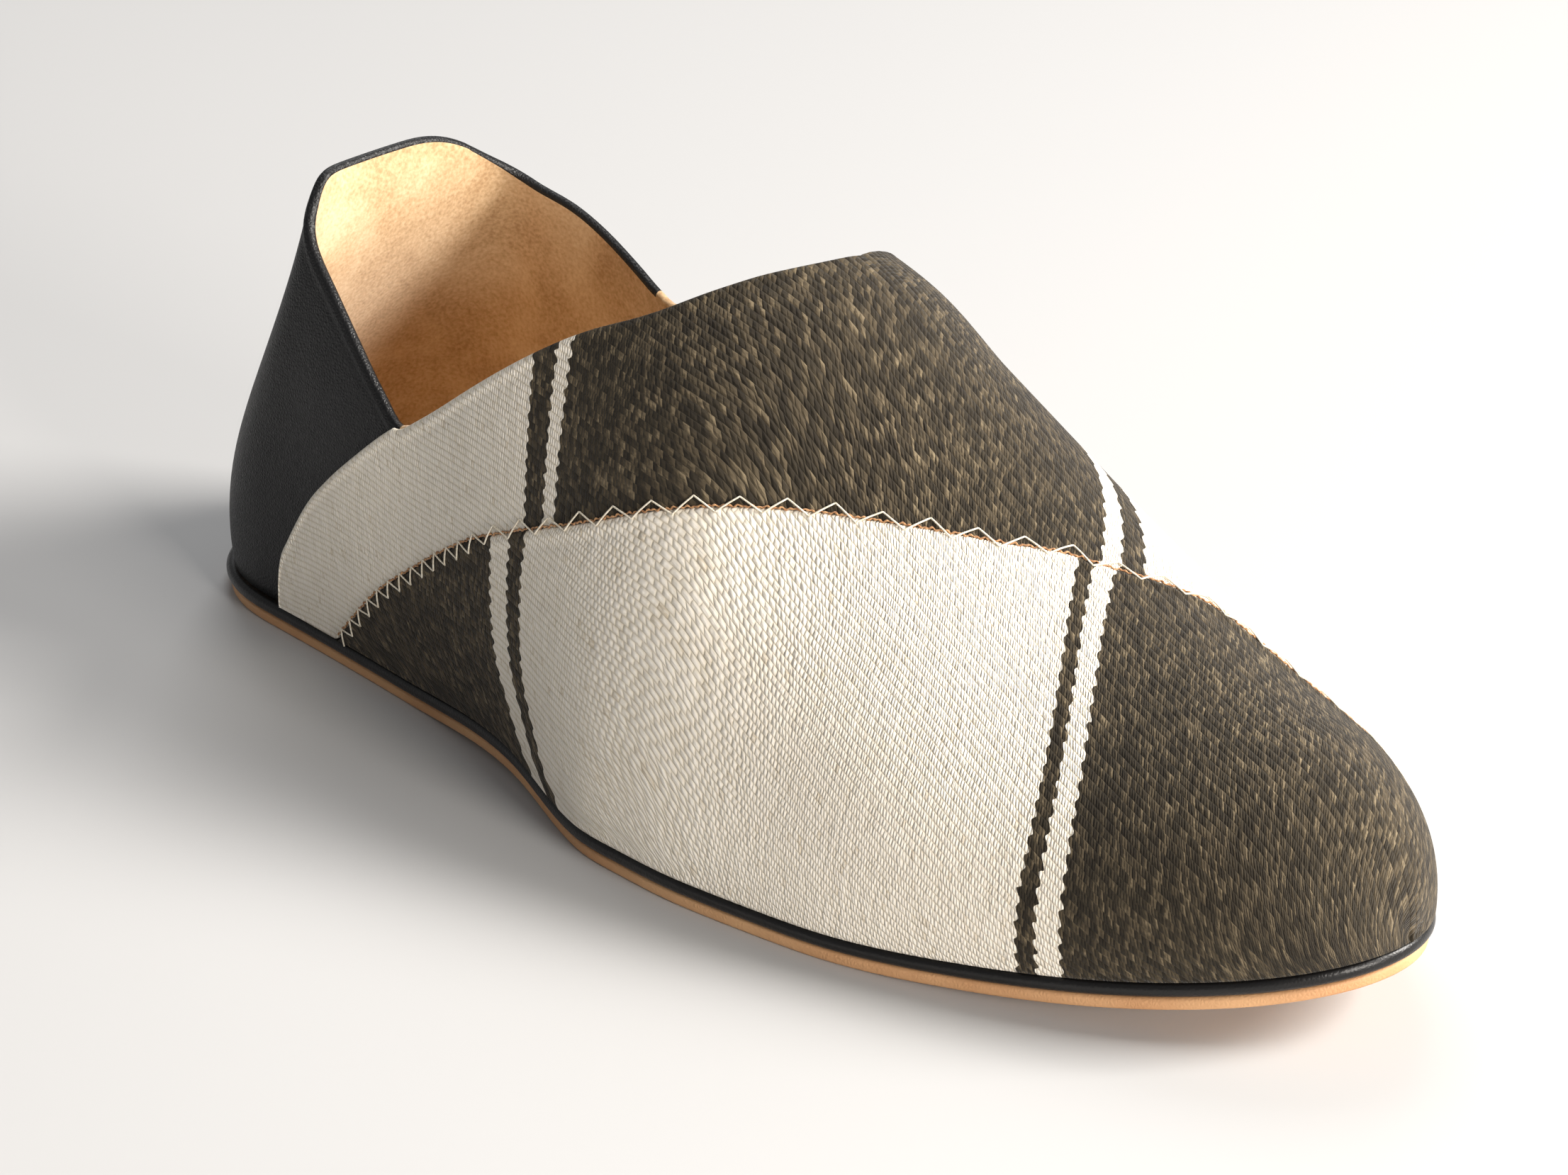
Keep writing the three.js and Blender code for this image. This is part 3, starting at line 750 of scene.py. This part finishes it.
# The quarter and its lining: one shell from the heel to the toe, which the cloth covers in front
x = stations_between(0, LAST_LENGTH, count=190, crowd=[*THROAT_CROWD, DIP])
sole_line = 0 * x
open_part = x < THROAT_END - TOLERANCE
collar_outer, collar_inner = line(COLLAR, np.minimum(x, THROAT_END))
high_outer = np.where(open_part, collar_outer, meeting(x))
high_inner = np.where(open_part, collar_inner, 1 - meeting(x))
rim_bead = RIM_BEAD * (1 - smooth(*RIM_FADE, x))


def quarter_slots(x, slot, in_roll):
    """The rolled edge is leather at the quarter and lining under the cloth."""
    return np.where(in_roll & (x > DIP), 2, slot)


quarter = mesh_object(
    "quarter",
    shell_parts(
        [
            (-1, x, sole_line, high_outer, rim_bead, open_part),
            (1, x, sole_line, high_inner, rim_bead, open_part),
        ],
        wall=(-QUARTER_WALL, 0.0),
        body_rows=34,
        shape=quarter_relief,
        slots=(0, 1, 2, quarter_slots),
    ),
    [quarter_leather, rim_leather, lining],
)
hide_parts("upper")
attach(quarter, "root")

cloth_wall = (CLOTH_LIFT, CLOTH_LIFT + CLOTH_WALL)

# The vamp: from the outer sole line up to the seam, and in front of it over the whole toe
x = stations_between(
    SEAM_START + VAMP_SETBACK, LAST_LENGTH, count=240, crowd=[SEAM_END - 0.5, SEAM_END]
)
vamp_bead = VAMP_BEAD * (1 - smooth(*VAMP_FADE, x))
vamp_high = np.where(x < SEAM_END, np.maximum(seam_share(x) - SEAM_ROOM, 0), 1.0)
vamp = mesh_object(
    "vamp",
    shell_parts(
        [(-1, x, 0 * x, vamp_high, vamp_bead, x < LAST_LENGTH)],
        wall=cloth_wall,
        body_rows=96,
        shape=cloth_relief,
        slots=(0, 0, 0, None),
        pattern=stripe_coordinates(on_vamp=True),
    ),
    [vamp_cloth],
)
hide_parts("vamp_front")
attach(vamp, "root")

# The band: on the outer side between the seam and the collar, on the inner side down to the sole,
# and in front of the seam's crossing down from the seam
sides = []
for side, end in ((-1, RIDGE_CROSSING), (1, SEAM_END)):
    x = stations_between(
        CLOTH_START, end, count=200, crowd=[*REAR_CROWD, *THROAT_CROWD, DIP, RIDGE_CROSSING]
    )
    column = 0 if side < 0 else 1
    rear = line(CLOTH_REAR, np.minimum(x, CLOTH_JOIN))[column]
    collar = line(COLLAR, np.minimum(x, THROAT_END))[column]
    high = np.where(x < CLOTH_JOIN, np.minimum(rear, collar), collar)
    ridge = meeting(x) if side < 0 else 1 - meeting(x)
    high = np.where(x < THROAT_END - TOLERANCE, high, ridge)
    low = seam_share(x) if side < 0 else 0 * x
    if side > 0:
        high = np.where(x >= RIDGE_CROSSING - TOLERANCE, 1 - seam_share(x), high)
    high = np.maximum(high, low)
    free = (x < THROAT_END - TOLERANCE) | (x >= RIDGE_CROSSING - TOLERANCE)
    bead = BAND_BEAD * (1 - smooth(*BAND_FADE, x))
    sides.append((side, x, low, high, bead, free))
band = mesh_object(
    "band",
    shell_parts(
        sides,
        wall=cloth_wall,
        body_rows=44,
        shape=cloth_relief,
        slots=(0, 0, 0, None),
        pattern=stripe_coordinates(on_vamp=False),
    ),
    [band_cloth],
)
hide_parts("instep_band")
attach(band, "root")


# Seam: the vamp's raw edge, and a zigzag stitch over it

SEAM_SAMPLES = 3000
THREAD_SAMPLES = 1400
# How far the threads keep off the seam's ends along the foot
THREAD_SETBACK = (1.2, 0.4)
# The raw edge in millimetres: its place beside the seam and over the cloth, and its radius, each
# with its waver
EDGE_ASIDE = (0.1, 0.1)
EDGE_LIFT = (0.1, 0.04)
EDGE_RADIUS = (0.16, 0.04)
# The stitches in millimetres: pitch behind and how much longer it is in front, where it changes,
# width with its unevenness, lift with its rise at each turn, and radius
PITCH_BEHIND = 4.3
PITCH_GROWTH = 3.2
PITCH_CHANGE = (86.0, 100.0)
STITCH_WIDTH = (2.6, 0.25)
STITCH_LIFT = (0.24, 0.1)
STITCH_RADIUS = 0.15
# The share of a stitch that lies over the vamp in front, and how much more of it does behind
OVER_VAMP = 0.35
HANG_BEHIND = 0.5

places = np.linspace(SEAM_START + THREAD_SETBACK[0], SEAM_END - THREAD_SETBACK[1], SEAM_SAMPLES)
shares = seam_share(places)
seam_points, seam_normals = over_last(
    places, shares, CLOTH_LIFT + CLOTH_WALL + cloth_relief(places, shares)
)
seam_steps = np.linalg.norm(np.diff(seam_points, axis=0), axis=1)
seam_lengths = np.concatenate([[0], np.cumsum(seam_steps)])
seam_tangents = np.gradient(seam_points, axis=0)
seam_tangents /= np.linalg.norm(seam_tangents, axis=1, keepdims=True)
seam_sides = np.cross(seam_normals, seam_tangents)


def beside_seam(length, aside, lift):
    """Points at lengths along the seam, and the cloth's normals there. aside is the distance from the
    seam towards the band, lift the height over the cloth, in millimetres."""
    point, normal, side = [
        np.stack([np.interp(length, seam_lengths, values[:, k]) for k in range(3)], axis=-1)
        for values in (seam_points, seam_normals, seam_sides)
    ]
    return point + aside[:, None] * side + lift[:, None] * normal, normal


# The raw edge wavers by two sines of the length, a wave of 2.2 mm and one of 1.2 mm.
length = np.linspace(0, seam_lengths[-1], THREAD_SAMPLES)
waver = np.sin(length * 2.9) + np.sin(length * 5.3)
path, normals = beside_seam(
    length, EDGE_ASIDE[0] + EDGE_ASIDE[1] * waver, EDGE_LIFT[0] + EDGE_LIFT[1] * waver
)
ring, quads = tube(path, normals, EDGE_RADIUS[0] + EDGE_RADIUS[1] * np.sin(length * 7.1))
edge = mesh_object("seam_edge", [(ring, quads, 0, None)], [raw_edge])
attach(edge, "root")

# Stitches: short ones behind, which hang over the vamp, and longer ones in front. count numbers the
# half stitches, and wave goes from 0 at the vamp to 1 at the band and back.
place_of = np.interp(length, seam_lengths, places)
in_front = smooth(*PITCH_CHANGE, place_of)
pitch = PITCH_BEHIND + PITCH_GROWTH * in_front
count = np.concatenate([[0], np.cumsum(np.diff(length) / (pitch[1:] / 2))])
phase = count % 2
wave = np.where(phase < 1, phase, 2 - phase)
width = STITCH_WIDTH[0] + STITCH_WIDTH[1] * np.sin(np.floor(count / 2) * 2.4)
aside = (wave - OVER_VAMP - HANG_BEHIND * (1 - in_front)) * width
path, normals = beside_seam(
    length, aside, STITCH_LIFT[0] + STITCH_LIFT[1] * np.sin(np.pi * wave)
)
ring, quads = tube(path, normals, STITCH_RADIUS + 0 * length)
stitches = mesh_object("seam_stitches", [(ring, quads, 0, None)], [cream_thread])
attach(stitches, "root")


# Sole


def sole_layer(name, profile, material, node):
    """A layer of the sole: its rounded side profile of (offset, height) runs round the outline, and
    the two sides are joined across the top and the bottom."""
    x = stations_between(0, LAST_LENGTH, count=220)
    offsets, heights = np.array(profile).T
    wide = x[:, None] + 0 * offsets[None, :]
    rows = []
    for share in (0.0, 1.0):
        points, _ = over_last(wide, share + 0 * wide, offsets[None, :] + 0 * wide)
        points[..., 2] = sole_rise(wide) + heights[None, :]
        rows.append(points if share == 0 else points[:, ::-1])
    ring = np.concatenate(rows, axis=1)
    quads = grid_quads(len(x), ring.shape[1], closed=True)
    made = mesh_object(name, [(ring, quads, 0, None)], [material])
    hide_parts(node)
    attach(made, "root")


def rounded(outer, low, high, radius, inset=2.4, steps=6):
    """Side profile with round corners: from the bottom's inset over a quarter circle up to the top."""
    centre = outer - radius
    phi = np.linspace(0, np.pi / 2, steps)
    bottom = [(centre + radius * math.sin(p), low + radius - radius * math.cos(p)) for p in phi]
    top = [(centre + radius * math.cos(p), high - radius + radius * math.sin(p)) for p in phi]
    return [(outer - inset, low)] + bottom + top + [(outer - inset, high)]


RAND_LOW = OUTSOLE_THICKNESS + FIT_GAP
SOCK_GAP = 0.2

sole_layer(
    "outsole_leather",
    rounded(OUTSOLE_PROUD, 0.0, OUTSOLE_THICKNESS, radius=0.7),
    sole_leather,
    "outsole",
)
sole_layer(
    "rand_leather",
    rounded(RAND_PROUD, RAND_LOW, RAND_LOW + RAND_THICKNESS, radius=1.2),
    rand_leather,
    "rand",
)
sole_layer(
    "sock_suede",
    rounded(-QUARTER_WALL - SOCK_GAP, SOLE_TOP, SOLE_TOP + INSOLE_THICKNESS, radius=0.5),
    sock,
    "insole",
)


# Stage, light and camera

FLOOR_HALF = 4.0
floor_corners = [(i * FLOOR_HALF, j * FLOOR_HALF, 0.0) for i, j in ((-1, -1), (1, -1), (1, 1), (-1, 1))]
floor_data = bpy.data.meshes.new("floor")
floor_data.from_pydata(floor_corners, [], [(0, 1, 2, 3)])
floor = bpy.data.objects.new("floor", floor_data)
bpy.context.scene.collection.objects.link(floor)
floor_material, _, floor_shader = new_material("pale_floor", Roughness=0.9, Specular_IOR_Level=0.1)
floor_shader.inputs["Base Color"].default_value = linear("c6c6c6")
floor_data.materials.append(floor_material)

bpy.context.scene.view_settings.view_transform = "Standard"
world = bpy.data.worlds.new("studio")
bpy.context.scene.world = world
world.use_nodes = True
background = world.node_tree.nodes["Background"]
background.inputs["Color"].default_value = linear("f6f6f7")
background.inputs["Strength"].default_value = 0.24


def area_light(name, place, aim, size, power, colour):
    """A soft square light at a place, turned towards a point. Its size is in metres and its power in
    watts."""
    data = bpy.data.lights.new(name, "AREA")
    data.size = size
    data.energy = power
    data.color = linear(colour)[:3]
    made = bpy.data.objects.new(name, data)
    made.location = place
    made.rotation_euler = (Vector(aim) - Vector(place)).to_track_quat("-Z", "Y").to_euler()
    bpy.context.scene.collection.objects.link(made)


area_light(
    "key", place=(0.99, 0.775, 0.85), aim=(0.0, 0.0, 0.03), size=0.6, power=43.0, colour="fffaf4"
)
area_light(
    "front", place=(1.5, -0.2, 0.45), aim=(0.05, 0.0, 0.03), size=0.5, power=22.0, colour="fff8f0"
)
area_light(
    "back", place=(-0.9, 0.9, 1.5), aim=(-0.1, 0.0, 0.0), size=1.0, power=14.0, colour="ffffff"
)

# The camera stands where the photograph's stood, turned to the shoe and with a longer lens.
IMAGE_WIDTH = 2212
FOCAL_PIXELS = 5550
SENSOR_WIDTH = 36.0
CAMERA_PLACE = Vector((0.4149, -0.4128, 0.3209))
CAMERA_AIM = Vector((0.004, 0.0, 0.034))
camera_data = bpy.data.cameras.new("camera")
camera_data.sensor_width = SENSOR_WIDTH
camera_data.lens = SENSOR_WIDTH * FOCAL_PIXELS / IMAGE_WIDTH
camera_data.clip_start = 0.01
camera = bpy.data.objects.new("camera", camera_data)
camera.location = CAMERA_PLACE
camera.rotation_euler = (CAMERA_AIM - CAMERA_PLACE).to_track_quat("-Z", "Y").to_euler()
bpy.context.scene.collection.objects.link(camera)
bpy.context.scene.camera = camera
